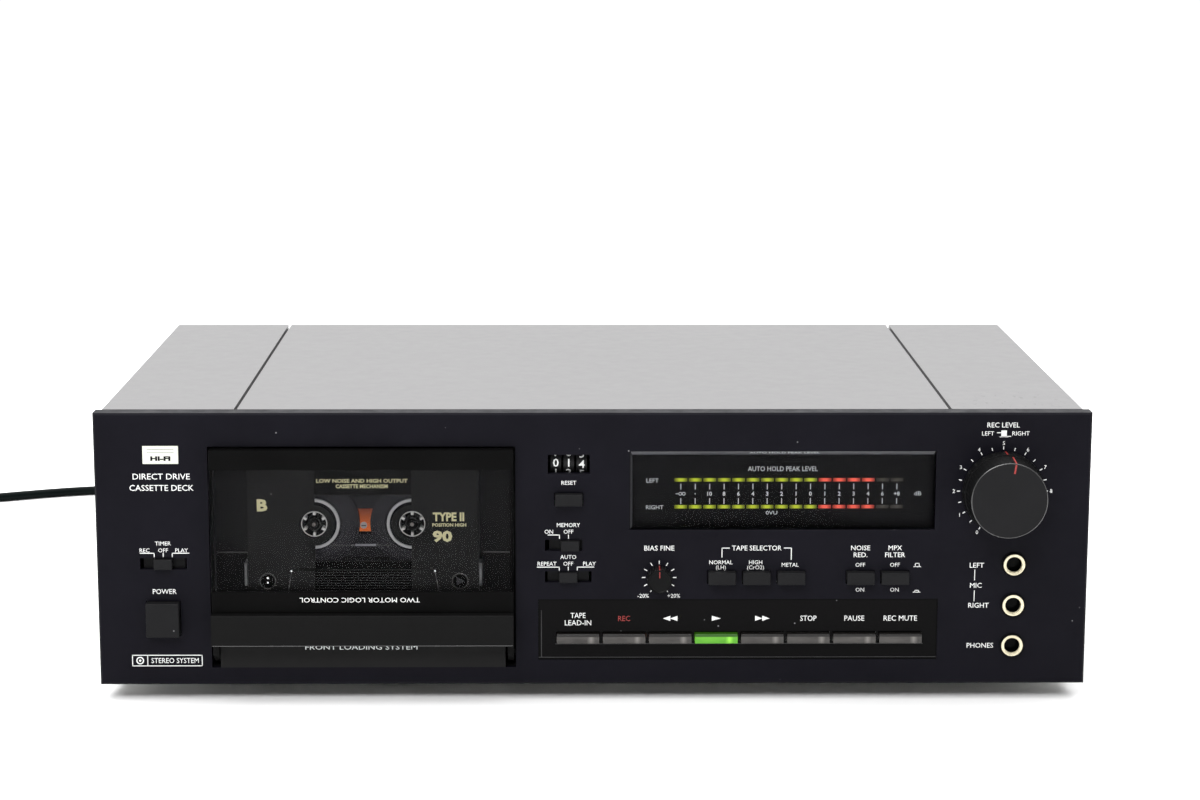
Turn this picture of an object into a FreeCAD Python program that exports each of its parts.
import FreeCAD, Part
import math
import os

# Cassette deck, millimetres.  Every piece is drawn in panel coordinates: x to the right from the
# middle of the front panel, y back from the panel's front face, z up from the panel's lower edge.
# save() then stands the deck on its feet, with the origin at the middle of its footprint.
# The mains cord is the exception: it lies on the table, so it is drawn in the finished frame.

V = FreeCAD.Vector

# ---- Driving dimensions ----
PANEL_W = 430.0        # full-width front
PANEL_H = 120.6
PANEL_T = 3.0          # thickness of the panel's face
PANEL_RIM = 8.8        # depth of its folded rim
CASE_W = 425.6
CASE_REAR = 246.0      # rear edge of the covers
COVER_T = 1.4
SHEET = 1.2
FOOT_H = 7.0
KNOB_REACH = 20.0      # how far the level knob stands out of the panel
JACK_REACH = 10.0      # how far the phono sockets stand out of the case
SEAM_X = 154.8         # seams between the centre cover and the side covers
SEAM_GAP = 1.4
LEDGE_W = 6.0          # ledge of a side cover, under the centre cover's edge
LEDGE_DROP = 3.6       # from the top of the covers to the underside of that ledge
PLAY = 0.3             # gap round a button or slide knob
RUNNING = 0.06         # radial clearance of a shaft in its bearing
FRONT_Y = -(CASE_REAR + JACK_REACH - KNOB_REACH) / 2

# ---- Front panel layout: left, right, bottom, top ----
BAY = (-166.2, -33.7, 7.7, 106.0)
COUNTER = (-19.7, -1.6, 94.0, 102.3)
METER = (15.7, 148.0, 69.1, 103.8)
KEY_PANEL = (-24.0, 150.1, 11.0, 38.2)
POWER = (-193.9, -179.5, 22.3, 37.4)
RESET = (-16.6, -4.7, 80.2, 85.4)
TIMER_SLOT = (-196.3, -176.1, 51.7, 56.8)
MEMORY_SLOT = (-21.0, -4.8, 59.8, 64.8)
AUTO_SLOT = (-21.0, -0.8, 45.7, 50.7)
SLIDE_KNOB_W = 8.0
BUTTON_W, BUTTON_Z0, BUTTON_Z1 = 12.0, 45.3, 50.7
BUTTON_X0, BUTTON_PITCH = 49.8, 15.05
BUTTONS = {"normal_button": 0, "high_button": 1, "metal_button": 2, "nr_button": 4, "filter_button": 5}
KEY_X0, KEY_PITCH, KEY_W, KEY_Z0, KEY_Z1 = -16.0, 20.09, 18.7, 18.7, 23.0
KEYS = ("lead_in_key", "record_key", "rewind_key", "play_key",
        "forward_key", "stop_key", "pause_key", "mute_key")
BIAS_X, BIAS_Z, BIAS_R, BIAS_REACH = 28.6, 47.9, 5.5, 8.0
LEVEL_X, LEVEL_Z = 176.9, 86.2
LEVEL_RING_R, LEVEL_KNOB_R, LEVEL_FACE_R = 17.7, 17.2, 16.4
JACK_X, JACK_ZS, JACK_R = 182.9, (53.6, 35.4, 17.3), 3.25
COUNTER_Y, COUNTER_Z = 10.6, 98.15     # axle of the counter wheels
WHEEL_R, WHEEL_W, WHEEL_PITCH = 7.4, 5.0, 5.6
WHEEL_XS = [(COUNTER[0] + COUNTER[1]) / 2 + WHEEL_PITCH * step for step in (-1, 0, 1)]
LAMPS_IN_ROW = 16
LAMP_X0, LAMP_PITCH, LAMP_ZS = 35.4, 6.28, (89.2, 77.2)
LAMP_W, LAMP_H, LAMP_Y = 5.5, 1.5, 10.0

# ---- Standard cassette: 100.4 x 63.8, hubs 42.5 apart ----
TAPE_X, TAPE_Z0 = -99.9, 35.8
TAPE_W, TAPE_H = 100.4, 63.8
TAPE_Y0, TAPE_Y1 = 3.5, 12.2           # thin part
THICK_Y0, THICK_Y1 = 1.85, 13.85       # thick part along the tape's edge
HUB_PITCH, HUB_Z = 42.5, 70.7
HUB_XS = (TAPE_X - HUB_PITCH / 2, TAPE_X + HUB_PITCH / 2)
HUB_HOLE_R = 6.1
WINDOW = (-120.8, -78.9, 54.6, 83.8)
WINDOW_CLEAR_R = 8.9                   # the window stops short of each hub
PACK_RS = (19.4, 17.8)
HEAD_STEP = 24.5                       # capstan holes either side of the middle
CAPSTAN_X, CAPSTAN_Z, CAPSTAN_R = TAPE_X + HEAD_STEP, TAPE_Z0 + 8.0, 1.25

# ---- Dust cover ----
DOOR_GAP = 0.9
DOOR_X0, DOOR_X1 = BAY[0] + DOOR_GAP, BAY[1] - DOOR_GAP
DOOR_FRONT, DOOR_BACK, DOOR_INNER = -4.0, -2.0, 1.2
DOOR_TOP, STRIP_Z, BAND_Z, LIP_Z, LIP_BOTTOM = 105.1, 96.4, 42.6, 33.05, 19.25
LIP_FRONT = -8.0
PIVOT_Y, PIVOT_Z, PIVOT_R = 4.9, 13.5, 1.5
SILL_X0, SILL_X1, SILL_TOP = -162.4, -38.3, 18.8

# ---- Transport ----
BAY_BACK = 14.6        # upper wall behind the cassette
POCKET_BACK = 20.0     # lower, deeper wall
LEDGE_Z = 56.0
PLATE_Y = 30.0         # mechanism plate
PLATE_T = 1.5
LIFT = 6.0             # travel of the head bridge
FLYWHEEL_R, FLYWHEEL_Y = 30.0, 34.0
STATOR_Y = 43.5        # front of the direct-drive motor's fixed board
COIL_RING_R = 17.0     # ring of its six coils
REEL_MOTOR_Z = 96.0
ARM_X, ARM_Z = -52.5, 27.0             # pivot of the pinch arm
ROLLER_X, ROLLER_Z, ROLLER_R = -77.33, 29.4, 5.5

# ---- Rear ----
REAR_Y = 243.6         # inner face of the rear panel
RCA_R, RCA_FLANGE = 4.15, 1.2
RCA_XS, RCA_ZS = (-60.0, -40.0), (78.0, 96.0)
CORD_EXIT_X, CORD_EXIT_Z = -150.0, 20.0
FOOT_X, FOOT_YS, FOOT_R = 165.0, (45.0, 215.0), 14.0
SIDE_SCREW_YS, SIDE_SCREW_Z = (50.0, 205.0), 22.0
REAR_SCREWS = ((-190.0, 104.0), (190.0, 104.0), (-190.0, 14.0), (190.0, 14.0))
BOARD_Z = 9.6

# ---- Mains cord, in the finished frame ----
CORD_D = 5.0
CORD_ROUTE = [(-150, 154, 27), (-150, 178, 26), (-151.5, 206, 17), (-157, 238, 5.5),
              (-174, 268, 2.6), (-204, 291, 2.6), (-246, 303, 2.6), (-292, 299, 2.6),
              (-338, 281, 2.6), (-394, 254.2, 2.6)]
COIL_X, COIL_Y = -379.3, 223.5
COIL_INNER, COIL_OUTER, COIL_H = 21.5, 36.5, 10.0
PLUG_Y0 = 193.0        # where the plug's body starts, beside the coil


# ---- Helpers ----

def box(x0, x1, y0, y1, z0, z1):
    return Part.makeBox(x1 - x0, y1 - y0, z1 - z0, V(x0, y0, z0))


def window_box(rect, y0, y1, grow=0.0):
    """A block over a front panel rectangle, from y0 back to y1."""
    left, right, bottom, top = rect
    return box(left - grow, right + grow, y0, y1, bottom - grow, top + grow)


def rod(x, z, y0, y1, r):
    """A cylinder that runs front to back."""
    return Part.makeCylinder(r, y1 - y0, V(x, y0, z), V(0, 1, 0))


def tube(x, z, y0, y1, r_out, r_in):
    return rod(x, z, y0, y1, r_out).cut(rod(x, z, y0, y1, r_in))


def cross_rod(y, z, x0, x1, r):
    """A cylinder that runs left to right."""
    return Part.makeCylinder(r, x1 - x0, V(x0, y, z), V(1, 0, 0))


def upright(x, y, z0, z1, r):
    return Part.makeCylinder(r, z1 - z0, V(x, y, z0), V(0, 0, 1))


def plate(points, y0, y1):
    """A flat plate of the outline points (x, z), from y0 back to y1."""
    corners = [V(x, y0, z) for x, z in points]
    return Part.Face(Part.makePolygon(corners + corners[:1])).extrude(V(0, y1 - y0, 0))


def union(shapes):
    first, rest = shapes[0], shapes[1:]
    return first.fuse(rest).removeSplitter() if rest else first


def group(shapes):
    """Separate solids kept in one node."""
    return Part.makeCompound([solid for shape in shapes for solid in shape.Solids])


def edges_at(shape, axis, value):
    """The edges that lie in the plane where the axis (0 x, 1 y, 2 z) has this value."""
    return [e for e in shape.Edges if all(abs(v.Point[axis] - value) < 1e-4 for v in e.Vertexes)]


def edges_along(shape, axis):
    """The straight edges that are parallel to an axis."""
    found = []
    for edge in shape.Edges:
        if edge.Curve.TypeId == "Part::GeomLine" and abs(abs(edge.Curve.Direction[axis]) - 1) < 1e-6:
            found.append(edge)
    return found


def soft_block(rect, y0, y1, corner, front):
    """A button cap: rounded corners, and a softened front edge."""
    cap = window_box(rect, y0, y1)
    cap = cap.makeFillet(corner, edges_along(cap, 1))
    return cap.makeFillet(front, edges_at(cap, 1, y0))


def save(name, shape, placed=True):
    """Write one node, moved from panel coordinates to the finished frame."""
    if placed:
        shape = shape.translated(V(0, FRONT_Y, FOOT_H))
    for solid in shape.Solids:
        if not solid.isValid() or solid.Volume <= 0:
            print("BAD SOLID in", name)
    shape.exportStep("parts/" + name + ".step")


# ---- Front panel and case ----

def button_rect(slot):
    left = BUTTON_X0 + BUTTON_PITCH * slot
    return (left, left + BUTTON_W, BUTTON_Z0, BUTTON_Z1)


def key_rect(index):
    left = KEY_X0 + KEY_PITCH * index
    return (left, left + KEY_W, KEY_Z0, KEY_Z1)


def front_panel():
    half = PANEL_W / 2
    panel = box(-half, half, 0, PANEL_RIM, 0, PANEL_H)
    panel = panel.makeChamfer(0.8, edges_at(panel, 1, 0))
    cuts = [box(-half + 2, half - 2, PANEL_T, PANEL_RIM + 1, 2, PANEL_H - 2)]
    for rect in (BAY, COUNTER, METER, KEY_PANEL, TIMER_SLOT, MEMORY_SLOT, AUTO_SLOT):
        cuts.append(window_box(rect, -1, PANEL_T + 1))
    for rect in [POWER, RESET] + [button_rect(slot) for slot in BUTTONS.values()]:
        cuts.append(window_box(rect, -1, PANEL_T + 1, PLAY))
    cuts.append(rod(BIAS_X, BIAS_Z, -1, PANEL_T + 1, 3.0 + RUNNING))
    cuts.append(rod(LEVEL_X, LEVEL_Z, -1, PANEL_T + 1, 4.2 + RUNNING))
    for z in JACK_ZS:
        cuts.append(rod(JACK_X, z, -1, PANEL_T + 1, 4.6))
    return panel.cut(cuts)


def chassis_pan():
    half = CASE_W / 2 - COVER_T
    floor = box(-half, half, PANEL_RIM, REAR_Y, 0, SHEET)
    walls = [box(-half, -half + SHEET, PANEL_RIM, REAR_Y, SHEET, 100),
             box(half - SHEET, half, PANEL_RIM, REAR_Y, SHEET, 100)]
    holes = [cross_rod(y, SIDE_SCREW_Z, side * half - 3, side * half + 3, 1.9)
             for y in SIDE_SCREW_YS for side in (-1, 1)]
    return union([floor] + walls).cut(holes)


def rear_panel():
    half = CASE_W / 2 - COVER_T
    sheet = box(-half, half, REAR_Y, REAR_Y + SHEET, 0, PANEL_H - COVER_T)
    holes = [rod(x, z, REAR_Y - 1, REAR_Y + 3, 3.4) for x in RCA_XS for z in RCA_ZS]
    holes.append(rod(CORD_EXIT_X, CORD_EXIT_Z, REAR_Y - 1, REAR_Y + 3, 6.0))
    holes += [rod(x, z, REAR_Y - 1, REAR_Y + 3, 1.9) for x, z in REAR_SCREWS]
    for row in range(2):
        for column in range(12):
            x, z = 40 + 9 * column, 40 + 30 * row
            holes.append(box(x, x + 3.5, REAR_Y - 1, REAR_Y + 3, z, z + 22))
    ledge = SEAM_X + SEAM_GAP / 2
    for side in (-1, 1):
        x0, x1 = sorted((side * (ledge - LEDGE_W), side * (ledge + COVER_T)))
        holes.append(box(x0, x1, REAR_Y - 1, REAR_Y + 3, PANEL_H - LEDGE_DROP, PANEL_H))
    return sheet.cut(holes)


def top_cover():
    """Centre cover: a flat sheet whose side edges fold down onto the side covers' ledges."""
    half = SEAM_X - SEAM_GAP / 2
    top, fold = PANEL_H - COVER_T, PANEL_H - LEDGE_DROP + SHEET
    sheet = box(-half, half, PANEL_RIM + 0.5, CASE_REAR, top, PANEL_H)
    folds = [box(-half, -half + COVER_T, PANEL_RIM + 0.5, CASE_REAR, fold, top),
             box(half - COVER_T, half, PANEL_RIM + 0.5, CASE_REAR, fold, top)]
    return union([sheet] + folds)


def side_cover(side):
    """L-shaped cover for one side (-1 left, 1 right) with a ledge under the centre cover."""
    half, seam = CASE_W / 2, SEAM_X + SEAM_GAP / 2
    y0, y1 = PANEL_RIM + 0.5, CASE_REAR
    outer_top = box(seam, half, y0, y1, PANEL_H - COVER_T, PANEL_H)
    wall = box(half - COVER_T, half, y0, y1, 0, PANEL_H)
    under = PANEL_H - LEDGE_DROP
    web = box(seam, seam + COVER_T, y0, y1, under, PANEL_H)
    ledge = box(seam - LEDGE_W, seam + COVER_T, y0, y1, under, under + SHEET)
    cover = union([outer_top, wall, web, ledge])
    corner = [e for e in edges_at(cover, 2, PANEL_H) if abs(e.CenterOfMass.x - half) < 0.01]
    cover = cover.makeFillet(0.9, corner)
    cover = cover.cut([cross_rod(y, SIDE_SCREW_Z, half - 3, half + 3, 2.2) for y in SIDE_SCREW_YS])
    return cover if side > 0 else cover.mirror(V(0, 0, 0), V(1, 0, 0))


def feet():
    made = []
    for x in (-FOOT_X, FOOT_X):
        for y in FOOT_YS:
            foot = Part.makeCone(FOOT_R - 2, FOOT_R, FOOT_H, V(x, y, -FOOT_H), V(0, 0, 1))
            foot = foot.makeFillet(1.0, edges_at(foot, 2, -FOOT_H))
            made.append(foot.cut(upright(x, y, -FOOT_H - 1, -FOOT_H + 3, 6)))
    return group(made)


def screw(origin, direction):
    """A pan-head screw: the head sits on the surface at origin, and direction points outwards."""
    head = Part.makeCylinder(3.6, 2.2, origin, direction)
    top = origin + direction * 2.2
    rim = [e for e in head.Edges if abs((e.CenterOfMass - top).Length) < 1e-4]
    head = head.makeFillet(1.0, rim)
    slot_x = direction.cross(V(0, 0, 1))
    for across in (slot_x, V(0, 0, 1)):
        other = direction.cross(across)
        corner = top - across * 2.2 - other * 0.45 - direction * 1.1
        edge = [corner, corner + across * 4.4, corner + across * 4.4 + other * 0.9, corner + other * 0.9]
        slot = Part.Face(Part.makePolygon(edge + edge[:1])).extrude(direction * 2)
        head = head.cut(slot)
    shank = Part.makeCylinder(1.9, 5.0, origin - direction * 5.0, direction)
    return head.fuse(shank).removeSplitter()


def case_screws():
    half = CASE_W / 2
    made = [screw(V(side * half, y, SIDE_SCREW_Z), V(side, 0, 0))
            for side in (-1, 1) for y in SIDE_SCREW_YS]
    made += [screw(V(x, REAR_Y + SHEET, z), V(0, 1, 0)) for x, z in REAR_SCREWS]
    return group(made)


# ---- Cassette bay and dust cover ----

def cassette_bay():
    left, right, bottom, top = BAY
    wall = 2.0
    outer = box(left - wall, right + wall, PANEL_T, POCKET_BACK + wall, bottom - wall, top + wall)
    outer = outer.cut([
        box(left, right, PANEL_T - 1, POCKET_BACK, bottom, LEDGE_Z - wall),
        box(left, right, PANEL_T - 1, BAY_BACK, LEDGE_Z - wall - 0.01, top),
        box(left - 3, right + 3, BAY_BACK + wall, POCKET_BACK + 3, LEDGE_Z, top + 3)])
    sill = box(SILL_X0, SILL_X1, 0, PANEL_T + 1.6, BAY[2], SILL_TOP)
    shelf = box(SILL_X0, SILL_X1, 0, POCKET_BACK, SILL_TOP - 1.6, SILL_TOP)
    bay = union([outer, sill, shelf])
    holes = [rod(x, HUB_Z, 10, 25, 5.2) for x in HUB_XS]
    holes.append(rod(CAPSTAN_X, CAPSTAN_Z, POCKET_BACK - 1, 25, 5.0))
    holes.append(rod(ARM_X, ARM_Z, POCKET_BACK - 1, 25, 2.2))
    holes += [rod(x, 30, POCKET_BACK - 1, 25, 2.2) for x in (-112, -90.5)]
    holes.append(cross_rod(PIVOT_Y, PIVOT_Z, left - wall - 1, left, PIVOT_R + RUNNING))
    holes.append(cross_rod(PIVOT_Y, PIVOT_Z, right, right + wall + 1, PIVOT_R + RUNNING))
    return bay.cut(holes)


def cassette_guides():
    """Two upright steel guides that the cassette stands between."""
    left = TAPE_X - TAPE_W / 2
    right = TAPE_X + TAPE_W / 2
    return [box(left - 1.2, left, 2.0, POCKET_BACK, 44.0, 54.0),
            box(right, right + 1.2, 2.0, POCKET_BACK, 44.0, 54.0)]


def door_side(side):
    """Side rail, arm and hinge pin of the door, side -1 left or 1 right."""
    edge = DOOR_X0 if side < 0 else DOOR_X1
    rail = box(*sorted((edge, edge - side * 1.6)), DOOR_BACK, DOOR_INNER, LIP_Z, DOOR_TOP)
    inner = edge - side * 2.6
    arm = box(*sorted((edge, inner)), DOOR_BACK, PIVOT_Y, PIVOT_Z, LIP_BOTTOM + 6)
    boss = cross_rod(PIVOT_Y, PIVOT_Z, min(edge, inner), max(edge, inner), 4.0)
    pin = cross_rod(PIVOT_Y, PIVOT_Z, *sorted((edge, edge + side * 2.6)), PIVOT_R)
    return [rail, arm, boss, pin]


def door_frame():
    strip = box(DOOR_X0, DOOR_X1, DOOR_FRONT, DOOR_BACK, STRIP_Z, DOOR_TOP)
    hood = box(DOOR_X0, DOOR_X1, DOOR_BACK, DOOR_INNER, DOOR_TOP - 1.6, DOOR_TOP)
    band = box(DOOR_X0, DOOR_X1, DOOR_FRONT, DOOR_BACK, LIP_Z, BAND_Z)
    lip = box(DOOR_X0, DOOR_X1, LIP_FRONT, DOOR_BACK, LIP_BOTTOM, LIP_Z)
    lip = lip.makeFillet(0.8, [e for e in edges_at(lip, 1, LIP_FRONT) if abs(e.Curve.Direction.x) > 0.9])
    hollow = box(DOOR_X0 + 4, DOOR_X1 - 4, LIP_FRONT + 2, DOOR_BACK + 1, LIP_BOTTOM + 2, LIP_Z - 2)
    frame = union([strip, hood, band, lip] + door_side(-1) + door_side(1))
    return frame.cut(hollow)


def door_window():
    pane = box(DOOR_X0, DOOR_X1, DOOR_FRONT, DOOR_BACK, BAND_Z, STRIP_Z)
    return pane.makeFillet(0.4, [e for e in edges_at(pane, 1, DOOR_FRONT) if abs(e.Curve.Direction.z) > 0.9])


# ---- Cassette ----

def window_outline(y0, y1, gap):
    """The cassette's window: a rectangle that stops short of both hubs."""
    left, right, bottom, top = WINDOW
    shape = box(left + gap, right - gap, y0, y1, bottom + gap, top - gap)
    return shape.cut([rod(x, HUB_Z, y0 - 1, y1 + 1, WINDOW_CLEAR_R + gap) for x in HUB_XS])


def cassette_shell():
    left, right = TAPE_X - TAPE_W / 2, TAPE_X + TAPE_W / 2
    top = TAPE_Z0 + TAPE_H
    body = box(left, right, TAPE_Y0, TAPE_Y1, TAPE_Z0, top)
    body = body.makeFillet(1.5, edges_along(body, 1))
    thick = plate([(TAPE_X - 32.9, TAPE_Z0), (TAPE_X + 33.3, TAPE_Z0),
                   (TAPE_X + 31.1, TAPE_Z0 + 15.1), (TAPE_X - 31.2, TAPE_Z0 + 15.1)], THICK_Y0, THICK_Y1)
    shell = union([body, thick])
    cuts = [box(left + 1.2, right - 1.2, TAPE_Y0 + 1.2, TAPE_Y1 - 1.2, TAPE_Z0 + 1.2, top - 1.2)]
    cuts += [rod(x, HUB_Z, 0, 15, HUB_HOLE_R) for x in HUB_XS]
    cuts.append(window_outline(0, 15, 0))
    for offset, half in ((0, 8.5), (-HEAD_STEP, 7.2), (HEAD_STEP, 7.2)):
        middle = TAPE_X + offset
        cuts.append(box(middle - half, middle + half, 2.95, 12.75, TAPE_Z0 - 1, TAPE_Z0 + 11.5))
    for offset in (-HEAD_STEP, HEAD_STEP):
        cuts.append(rod(TAPE_X + offset, CAPSTAN_Z, 0, 15, 3.1))
        cuts.append(rod(TAPE_X + offset * 0.54, CAPSTAN_Z, 0, 15, 2.2))
    shell = shell.cut(cuts)
    panes = [window_outline(TAPE_Y0, TAPE_Y0 + 1, 0.05), window_outline(TAPE_Y1 - 1, TAPE_Y1, 0.05)]
    return group([shell] + panes)


def reel(index):
    """Hub with six drive teeth, and the pack of tape wound on it."""
    x = HUB_XS[index]
    hub = union([rod(x, HUB_Z, 5.2, 10.5, 11.0), rod(x, HUB_Z, 4.0, 11.7, 5.7)])
    hub = hub.cut(rod(x, HUB_Z, 3, 13, 4.9))
    tooth = box(x - 0.6, x + 0.6, 5.2, 10.5, HUB_Z + 3.9, HUB_Z + 5.2)
    teeth = [tooth.rotated(V(x, 0, HUB_Z), V(0, 1, 0), 60 * step) for step in range(6)]
    pack = tube(x, HUB_Z, 5.95, 9.75, PACK_RS[index], 11.05)
    return group([union([hub] + teeth), pack])


def spindle(index):
    """Drive spindle with three splines, flange, rear shaft and drive disc."""
    x = HUB_XS[index]
    tip = Part.makeCone(1.6, 3.0, 1.4, V(x, 3.8, HUB_Z), V(0, 1, 0))
    parts = [tip, rod(x, HUB_Z, 5.2, 12.6, 3.0), rod(x, HUB_Z, 12.5, 14.2, 6.0),
             rod(x, HUB_Z, 14.2, 33.4, 2.5), rod(x, HUB_Z, PLATE_Y + PLATE_T + 0.3, 33.4, 14.0)]
    spline = box(x - 0.45, x + 0.45, 6.0, 12.6, HUB_Z + 2.5, HUB_Z + 4.5)
    parts += [spline.rotated(V(x, 0, HUB_Z), V(0, 1, 0), 30 + 120 * step) for step in range(3)]
    return union(parts)


# ---- Transport mechanism ----

def mechanism_plate():
    """Steel plate with the bearings, posts and spacers."""
    y0, y1 = PLATE_Y, PLATE_Y + PLATE_T
    sheet = box(-165, -35, y0, y1, SHEET, 112)
    spacers = [rod(x, z, POCKET_BACK + 2, y0, 3.0) for x in (-158, -42) for z in (14, 50)]
    bearing = rod(CAPSTAN_X, CAPSTAN_Z, 16.0, y0, 4.4)
    arm_post = rod(ARM_X, ARM_Z, 15.6, y0, 1.5)
    bridge_posts = [rod(x, 30, 15.6, y0, 1.5) for x in (-112, -90.5)]
    body = union([sheet, bearing, arm_post] + spacers + bridge_posts)
    holes = [rod(x, HUB_Z, y0 - 1, y1 + 1, 2.5 + RUNNING) for x in HUB_XS]
    holes.append(rod(CAPSTAN_X, CAPSTAN_Z, 10, y1 + 1, CAPSTAN_R + RUNNING))
    return body.cut(holes)


def head_bridge():
    """Sliding plate that lifts the heads to the tape, with the heads on its two brackets."""
    carrier = box(-131, -87, 16.5, 18.0, 19.6, 33.5)
    for x in (-112, -90.5):
        slot = [rod(x, 30, 16, 19, 1.6), rod(x, 30 - LIFT - 0.5, 16, 19, 1.6),
                box(x - 1.6, x + 1.6, 16, 19, 30 - LIFT - 0.5, 30)]
        carrier = carrier.cut(slot)
    main_bracket = box(TAPE_X - 6.5, TAPE_X + 6.5, 3.6, 16.5, 21.5, 25.5)
    erase_x = TAPE_X - HEAD_STEP
    erase_bracket = box(erase_x - 5, erase_x + 5, 4.2, 16.5, 22.5, 26.5)
    frame = union([carrier, main_bracket, erase_bracket])
    main_head = box(TAPE_X - 6, TAPE_X + 6, 4.0, 11.9, 25.5, 33.5)
    main_head = main_head.makeFillet(3.0, [e for e in edges_at(main_head, 2, 33.5)
                                           if abs(e.Curve.Direction.y) > 0.9])
    erase_head = box(erase_x - 4, erase_x + 4, 4.6, 11.2, 26.5, 33.0)
    erase_head = erase_head.makeFillet(2.0, [e for e in edges_at(erase_head, 2, 33.0)
                                             if abs(e.Curve.Direction.y) > 0.9])
    return group([frame, main_head, erase_head])


def pinch_arm():
    """Lever behind the cassette with a yoke that holds the rubber roller."""
    x, z = ROLLER_X, ROLLER_Z
    hub = rod(ARM_X, ARM_Z, 16.3, 18.5, 4.0)
    lever = plate([(ARM_X, ARM_Z - 3), (ARM_X, ARM_Z + 3), (x, z - 5.5), (x - 3, z - 5.5),
                   (x - 3, z - 9), (x + 3, z - 9)], 16.3, 17.8)
    base = box(x - 3, x + 3, 3.45, 16.3, z - 9, z - 6.4)
    cheeks = [box(x - 2.2, x + 2.2, y, y + 0.6, z - 6.4, z + 2.2) for y in (3.45, 11.7)]
    axle = rod(x, z, 3.45, 12.3, 1.0)
    arm = union([hub, lever, base, axle] + cheeks)
    return arm.cut(rod(ARM_X, ARM_Z, 15, 20, 1.5 + RUNNING))


def pinch_roller():
    return tube(ROLLER_X, ROLLER_Z, 4.35, 11.4, ROLLER_R, 1.0 + RUNNING)


def capstan_flywheel():
    """Capstan shaft with its flywheel, which is also the rotor of the direct-drive motor."""
    wheel = rod(CAPSTAN_X, CAPSTAN_Z, FLYWHEEL_Y, FLYWHEEL_Y + 8, FLYWHEEL_R)
    groove = tube(CAPSTAN_X, CAPSTAN_Z, FLYWHEEL_Y - 1, FLYWHEEL_Y + 2, FLYWHEEL_R - 3, 12)
    hub = rod(CAPSTAN_X, CAPSTAN_Z, FLYWHEEL_Y - 2, FLYWHEEL_Y, 5)
    shaft = rod(CAPSTAN_X, CAPSTAN_Z, 4.2, STATOR_Y + 3, CAPSTAN_R)
    return union([wheel.cut(groove), hub, shaft])


def capstan_stator():
    """Fixed half of the direct-drive motor: a board on three posts, six flat coils, a rear bearing."""
    y1 = STATOR_Y + PLATE_T
    board = rod(CAPSTAN_X, CAPSTAN_Z, STATOR_Y, y1, FLYWHEEL_R + 2)
    cup = rod(CAPSTAN_X, CAPSTAN_Z, y1, y1 + 3, 6)
    parts = [board, cup]
    reach = FLYWHEEL_R + 6
    for angle in (30, 150, 270):
        dx, dz = math.cos(math.radians(angle)), math.sin(math.radians(angle))
        x, z = CAPSTAN_X + reach * dx, CAPSTAN_Z + reach * dz
        lug = box(CAPSTAN_X, CAPSTAN_X + reach, STATOR_Y, y1, CAPSTAN_Z - 4, CAPSTAN_Z + 4)
        parts.append(lug.rotated(V(CAPSTAN_X, 0, CAPSTAN_Z), V(0, 1, 0), -angle))
        parts.append(rod(x, z, PLATE_Y + PLATE_T, y1, 2.5))
    frame = union(parts).cut(rod(CAPSTAN_X, CAPSTAN_Z, STATOR_Y - 1, STATOR_Y + 3.2, CAPSTAN_R + RUNNING))
    coil = tube(CAPSTAN_X + COIL_RING_R, CAPSTAN_Z, STATOR_Y - 1, STATOR_Y, 7.5, 3)
    coils = [coil.rotated(V(CAPSTAN_X, 0, CAPSTAN_Z), V(0, 1, 0), 60 * step) for step in range(6)]
    return group([frame] + coils)


def reel_motor():
    """Motor that turns the reels, with its pinion between the two spindle discs."""
    body = rod(TAPE_X, REEL_MOTOR_Z, PLATE_Y + PLATE_T, 56, 11)
    return union([body, rod(TAPE_X, REEL_MOTOR_Z, 56, 60, 3)])


# ---- Counter, buttons, slides and knobs ----

def counter_frame():
    left, right, bottom, top = COUNTER
    shell = box(left - 2, right + 2, PANEL_T, 21, COUNTER_Z - 10, COUNTER_Z + 10)
    shell = shell.cut(box(left - 0.4, right + 0.4, PANEL_T - 1, 19.5, COUNTER_Z - 8.6, COUNTER_Z + 8.6))
    return union([shell, cross_rod(COUNTER_Y, COUNTER_Z, left - 1, right + 1, 1.0)])


def counter_wheel(place):
    x = WHEEL_XS[place]
    wheel = cross_rod(COUNTER_Y, COUNTER_Z, x - WHEEL_W / 2, x + WHEEL_W / 2, WHEEL_R)
    return wheel.cut(cross_rod(COUNTER_Y, COUNTER_Z, x - 4, x + 4, 1.0 + RUNNING))


def push_button(rect, reach, travel):
    """Cap in front of the panel and a stem behind it; a wider foot behind stops it coming out."""
    left, right, bottom, top = rect
    cap = soft_block(rect, -reach, PANEL_T + travel + 2, 0.4, 0.5)
    foot_y = PANEL_T + travel + 2
    foot = box(left - 1, right + 1, foot_y, foot_y + 1.5, bottom + 0.6, top - 0.6)
    middle_x, middle_z = (left + right) / 2, (bottom + top) / 2
    stem = rod(middle_x, middle_z, foot_y, foot_y + 10, 1.6)
    return union([cap, foot, stem])


def slide_knob(slot, middle):
    """A small knob on a carrier that hides the slot from behind."""
    bottom, top = slot[2] + PLAY, slot[3] - PLAY
    rect = (middle - SLIDE_KNOB_W / 2, middle + SLIDE_KNOB_W / 2, bottom, top)
    knob = soft_block(rect, -2.5, PANEL_T + 0.4, 0.3, 0.5)
    carrier = box(middle - 9, middle + 9, PANEL_T + 0.4, PANEL_T + 1.4, bottom - 1.5, top + 1.5)
    lever = box(middle - 1.5, middle + 1.5, PANEL_T + 1.4, PANEL_T + 7, bottom + 1, top - 1)
    return union([knob, carrier, lever])


def transport_key(index):
    """Translucent bar; its stem runs back to the switch behind."""
    left, right, bottom, top = key_rect(index)
    cap = soft_block((left, right, bottom, top), -2.2, 4.4, 0.3, 0.4)
    return union([cap, box(left + 7, right - 7, 4.4, 9.0, bottom + 1, top - 1)])


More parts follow.
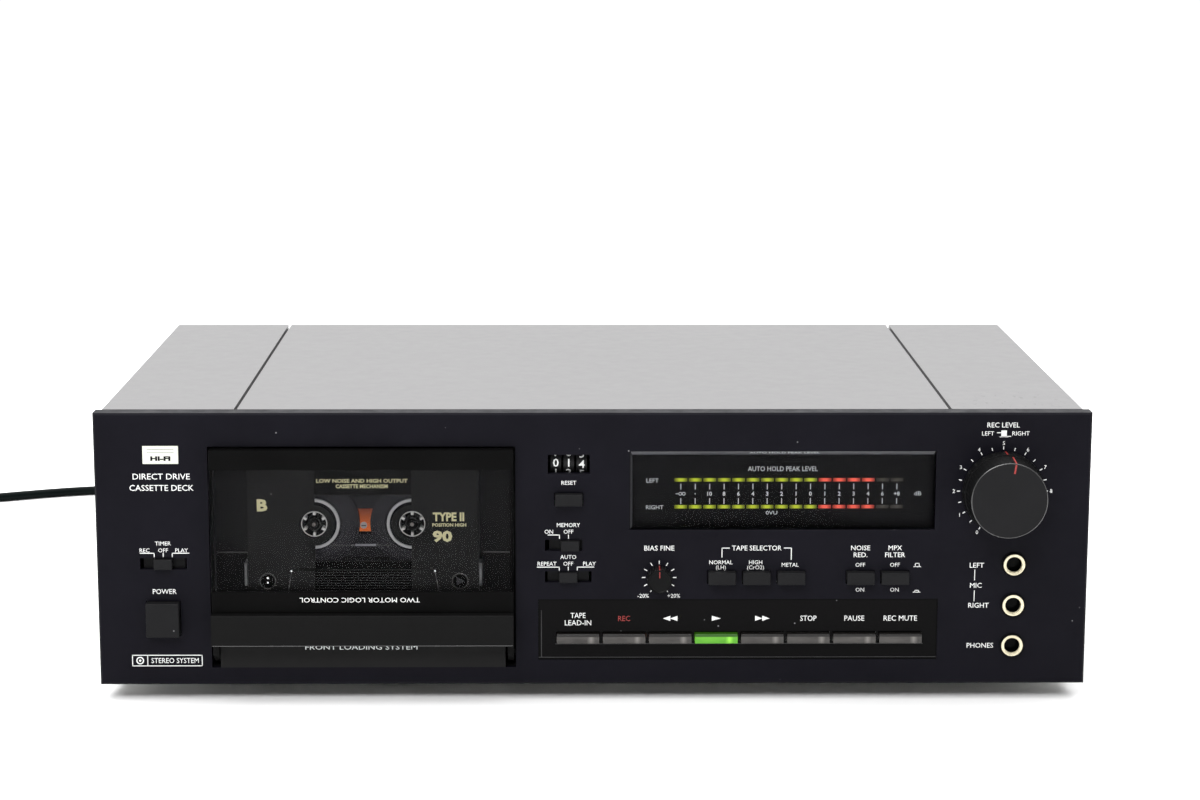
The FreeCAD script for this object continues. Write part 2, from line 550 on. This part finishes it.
def key_panel():
    face = window_box(KEY_PANEL, 0.5, PANEL_T)
    flange = window_box(KEY_PANEL, PANEL_T, PANEL_T + 1, 2.0)
    return union([face, flange]).cut([window_box(key_rect(i), 0, 6, PLAY) for i in range(len(KEYS))])


def bias_knob():
    cap = Part.makeCone(BIAS_R - 0.3, BIAS_R, BIAS_REACH - 0.5, V(BIAS_X, -BIAS_REACH, BIAS_Z), V(0, 1, 0))
    cap = cap.makeFillet(0.5, edges_at(cap, 1, -BIAS_REACH))
    return union([cap, rod(BIAS_X, BIAS_Z, -0.6, 14, 3.0)])


def level_knob():
    """Front knob of the concentric pair; its shaft runs through the rear ring."""
    y0, y1 = -KNOB_REACH, -8.3
    cap = Part.makeCone(LEVEL_FACE_R, LEVEL_KNOB_R, y1 - y0, V(LEVEL_X, y0, LEVEL_Z), V(0, 1, 0))
    cap = cap.makeFillet(0.6, edges_at(cap, 1, y0))
    return union([cap, rod(LEVEL_X, LEVEL_Z, y1 - 0.1, 20, 3.0)])


def level_ring():
    """Rear ring of the pair, on a sleeve that turns in the panel."""
    ring = rod(LEVEL_X, LEVEL_Z, -8.0, -0.6, LEVEL_RING_R)
    ring = ring.makeFillet(0.5, edges_at(ring, 1, -8.0))
    sleeve = rod(LEVEL_X, LEVEL_Z, -0.7, 10, 4.2)
    return union([ring, sleeve]).cut(rod(LEVEL_X, LEVEL_Z, -10, 12, 3.0 + RUNNING))


# ---- Meter, sockets and electronics ----

def meter_lens():
    """A clear block set in the panel, with bevelled front edges, hollow behind."""
    lens = window_box(METER, 0.0, PANEL_T)
    lens = lens.makeChamfer(1.6, edges_at(lens, 1, 0.0))
    return union([lens, window_box(METER, PANEL_T, PANEL_T + 1, 1.5)])


def meter_board():
    """Upright board behind the lens with two rows of sixteen lamps."""
    left, right, bottom, top = METER
    board = box(left - 2, right + 2, 11.6, 13.2, bottom - 2, top + 2)
    posts = [rod(x, z, PANEL_T, 11.6, 1.5) for x in (left - 4, right + 4) for z in (bottom, top)]
    tabs = [box(left - 6, left - 2, 11.6, 13.2, bottom - 2, top + 2),
            box(right + 2, right + 6, 11.6, 13.2, bottom - 2, top + 2)]
    lamps = []
    for z in LAMP_ZS:
        for i in range(LAMPS_IN_ROW):
            x = LAMP_X0 + LAMP_PITCH * i
            lamps.append(box(x, x + LAMP_W, LAMP_Y, 11.6, z - LAMP_H / 2, z + LAMP_H / 2))
    return group([union([board] + tabs + posts)] + lamps)


def jack_sockets():
    made = []
    for z in JACK_ZS:
        nut = Part.makeCone(4.9, 5.4, 1.4, V(JACK_X, -1.4, z), V(0, 1, 0))
        barrel = rod(JACK_X, z, 0, PANEL_T, 4.6)
        body = box(JACK_X - 7, JACK_X + 7, PANEL_T, 33, z - 7, z + 7)
        made.append(union([nut, barrel, body]).cut(rod(JACK_X, z, -2, 31, JACK_R)))
    return group(made)


def main_board():
    """Circuit board on four posts, with its larger components as separate solids."""
    board = box(-150, 100, 95, 232, BOARD_Z - 1.6, BOARD_Z)
    posts = [upright(x, y, SHEET, BOARD_Z - 1.6, 3) for x in (-140, 90) for y in (105, 222)]
    cans = [upright(-120 + 22 * i, 205, BOARD_Z, BOARD_Z + 18, 7) for i in range(5)]
    cans += [upright(60, 120 + 26 * i, BOARD_Z, BOARD_Z + 32, 11) for i in range(3)]
    chips = [box(-125 + 40 * i, -103 + 40 * i, 130, 138, BOARD_Z, BOARD_Z + 4) for i in range(4)]
    heat_sink = box(-20, 30, 160, 163, BOARD_Z, BOARD_Z + 40)
    return group([union([board] + posts)] + cans + chips + [heat_sink])


def power_transformer():
    core = box(122, 188, 150, 204, SHEET + 8, SHEET + 52)
    core = core.cut([box(133, 147, 149, 205, SHEET + 18, SHEET + 42),
                     box(163, 177, 149, 205, SHEET + 18, SHEET + 42)])
    coil = box(133, 177, 140, 214, SHEET + 18, SHEET + 42).cut(
        box(147, 163, 150, 204, SHEET + 18, SHEET + 42))
    frame = union([box(116, 194, 160, 194, SHEET, SHEET + 2), box(122, 188, 160, 194, SHEET + 2, SHEET + 8)])
    return group([core, coil, frame])


def rca_jacks():
    """Four phono sockets on the rear: metal shell round an insulator with the pin's hole."""
    made = []
    y0, tip = REAR_Y + SHEET, CASE_REAR + JACK_REACH
    for x in RCA_XS:
        for z in RCA_ZS:
            shell = union([rod(x, z, y0, y0 + RCA_FLANGE, 6.0), rod(x, z, y0 + RCA_FLANGE, tip, RCA_R)])
            made.append(shell.cut(rod(x, z, y0 - 1, tip + 1, 3.4)))
            core = rod(x, z, REAR_Y - 6, y0 + 7.0, 3.4)
            made.append(core.cut(rod(x, z, REAR_Y, y0 + 8, 1.6)))
    return group(made)


# ---- Mains cord ----

def cord_grommet():
    """Moulded strain relief: a bush in the rear panel that tapers along the cord."""
    x, z = CORD_EXIT_X, CORD_EXIT_Z
    y0 = REAR_Y
    end = CORD_ROUTE[0][1] - FRONT_Y
    collar = rod(x, z, y0 + SHEET, y0 + SHEET + 3, 8.0)
    bush = rod(x, z, y0 - 4, y0 + SHEET, 6.0)
    y1 = y0 + SHEET + 3
    taper = Part.makeCone(5.4, CORD_D / 2 + 0.9, end - y1, V(x, y1, z), V(0, 1, 0))
    return union([collar, bush, taper])


def rounded_path(points):
    """Straight runs joined by tangent arcs; each arc is as large as its two runs allow."""
    knots = [V(*p) for p in points]
    edges, start = [], knots[0]
    radii = []
    for before, at, after in zip(knots, knots[1:], knots[2:]):
        back, ahead = (before - at), (after - at)
        reach = 0.45 * min(back.Length, ahead.Length)
        back.normalize()
        ahead.normalize()
        half_turn = (math.pi - back.getAngle(ahead)) / 2
        radius = reach / math.tan(half_turn)
        radii.append(round(radius, 1))
        first, last = at + back * reach, at + ahead * reach
        inward = back + ahead
        inward.normalize()
        middle = at + inward * (radius / math.cos(half_turn) - radius)
        edges.append(Part.LineSegment(start, first).toShape())
        edges.append(Part.Arc(first, middle, last).toShape())
        start = last
    edges.append(Part.LineSegment(start, knots[-1]).toShape())
    print("cord radii", radii)
    return Part.Wire(edges)


def mains_cord():
    path = rounded_path(CORD_ROUTE)
    start = V(*CORD_ROUTE[0])
    heading = V(*CORD_ROUTE[1]) - start
    section = Part.Wire(Part.makeCircle(CORD_D / 2, start, heading))
    cord = path.makePipeShell([section], True, False)
    print("cord volume", round(cord.Volume), "section x length",
          round(math.pi * CORD_D ** 2 / 4 * path.Length), "length", round(path.Length, 1))
    return cord


def cord_coil():
    outer = upright(COIL_X, COIL_Y, 0.1, 0.1 + COIL_H, COIL_OUTER)
    outer = outer.makeFillet(2.0, [e for e in outer.Edges if e.Curve.TypeId == "Part::GeomCircle"])
    return outer.cut(upright(COIL_X, COIL_Y, -1, COIL_H + 1, COIL_INNER))


def mains_plug():
    """Two-blade plug beside the coil, with a tapered relief that reaches back to the cord."""
    x, z = COIL_X - (COIL_OUTER - CORD_D / 2), 7.6
    relief = Part.makeCone(4.4, CORD_D / 2 + 0.6, COIL_Y - PLUG_Y0, V(x, PLUG_Y0, z), V(0, 1, 0))
    body = box(x - 11, x + 11, PLUG_Y0 - 24, PLUG_Y0, z - 6.5, z + 6.5)
    body = body.makeFillet(2.5, edges_along(body, 1))
    body = body.makeFillet(1.2, edges_at(body, 1, PLUG_Y0))
    blades = [box(x + s * 6.35 - 0.75, x + s * 6.35 + 0.75, PLUG_Y0 - 41, PLUG_Y0 - 24, z - 3.2, z + 3.2)
              for s in (-1, 1)]
    return group([union([relief, body])] + blades)


# ---- Everything, one node a file ----

def write_case():
    save("front_panel", front_panel())
    save("chassis_pan", chassis_pan())
    save("rear_panel", rear_panel())
    save("top_cover", top_cover())
    save("side_cover_left", side_cover(-1))
    save("side_cover_right", side_cover(1))
    save("feet", feet())
    save("case_screws", case_screws())
    save("main_board", main_board())
    save("power_transformer", power_transformer())
    save("rca_jacks", rca_jacks())
    save("jack_sockets", jack_sockets())
    save("meter_lens", meter_lens())
    save("meter_board", meter_board())
    save("key_panel", key_panel())


def write_transport():
    save("cassette_bay", group([cassette_bay()] + cassette_guides()))
    save("door_frame", door_frame())
    save("door_window", door_window())
    save("cassette_shell", cassette_shell())
    for index, side in enumerate(("supply", "takeup")):
        save(side + "_reel", reel(index))
        save(side + "_spindle", spindle(index))
    save("mechanism_plate", mechanism_plate())
    save("head_bridge", head_bridge())
    save("pinch_arm", pinch_arm())
    save("pinch_roller", pinch_roller())
    save("capstan_flywheel", capstan_flywheel())
    save("capstan_stator", capstan_stator())
    save("reel_motor", reel_motor())


def write_controls():
    save("counter_frame", counter_frame())
    for place, name in enumerate(("hundreds", "tens", "units")):
        save("counter_wheel_" + name, counter_wheel(place))
    save("reset_button", push_button(RESET, 3.5, 2.0))
    save("power_button", push_button(POWER, 4.5, 3.0))
    for name, slot in BUTTONS.items():
        save(name, push_button(button_rect(slot), 4.0, 2.5))
    for index, name in enumerate(KEYS):
        save(name, transport_key(index))
    save("timer_knob", slide_knob(TIMER_SLOT, (TIMER_SLOT[0] + TIMER_SLOT[1]) / 2))
    save("memory_knob", slide_knob(MEMORY_SLOT, MEMORY_SLOT[1] - 1.3 - SLIDE_KNOB_W / 2))
    save("auto_knob", slide_knob(AUTO_SLOT, (AUTO_SLOT[0] + AUTO_SLOT[1]) / 2))
    save("bias_knob", bias_knob())
    save("level_knob", level_knob())
    save("level_ring", level_ring())


def write_cord():
    save("cord_grommet", cord_grommet())
    save("mains_cord", mains_cord(), placed=False)
    save("cord_coil", cord_coil(), placed=False)
    save("mains_plug", mains_plug(), placed=False)


os.makedirs("parts", exist_ok=True)
write_case()
write_transport()
write_controls()
write_cord()
